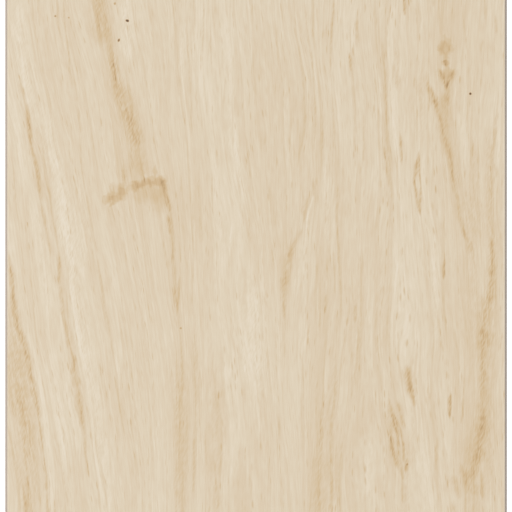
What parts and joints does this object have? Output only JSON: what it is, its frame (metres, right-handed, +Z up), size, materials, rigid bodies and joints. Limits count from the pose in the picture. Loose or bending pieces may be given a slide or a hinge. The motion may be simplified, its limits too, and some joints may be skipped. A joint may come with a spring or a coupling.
{
  "type": "upvc panel",
  "caption": "Long flat hollow-section uPVC plank for lining walls and ceilings, with a pale wood-grain printed face, bevelled long edges and a plain back.",
  "frame": {"origin": "middle of the underside, on the surface that the panel lies on", "axes": "+X across the panel, +Y along its length, +Z up through its thickness and out of the decor face"},
  "size_m": [0.25, 2.7, 0.008],
  "materials": {
    "upvc": "satin printed wood decor on the face, plain ivory uPVC on the edges, ends and back"
  },
  "bodies": {
    "root": {"panel": "upvc"}
  },
  "joints": []
}
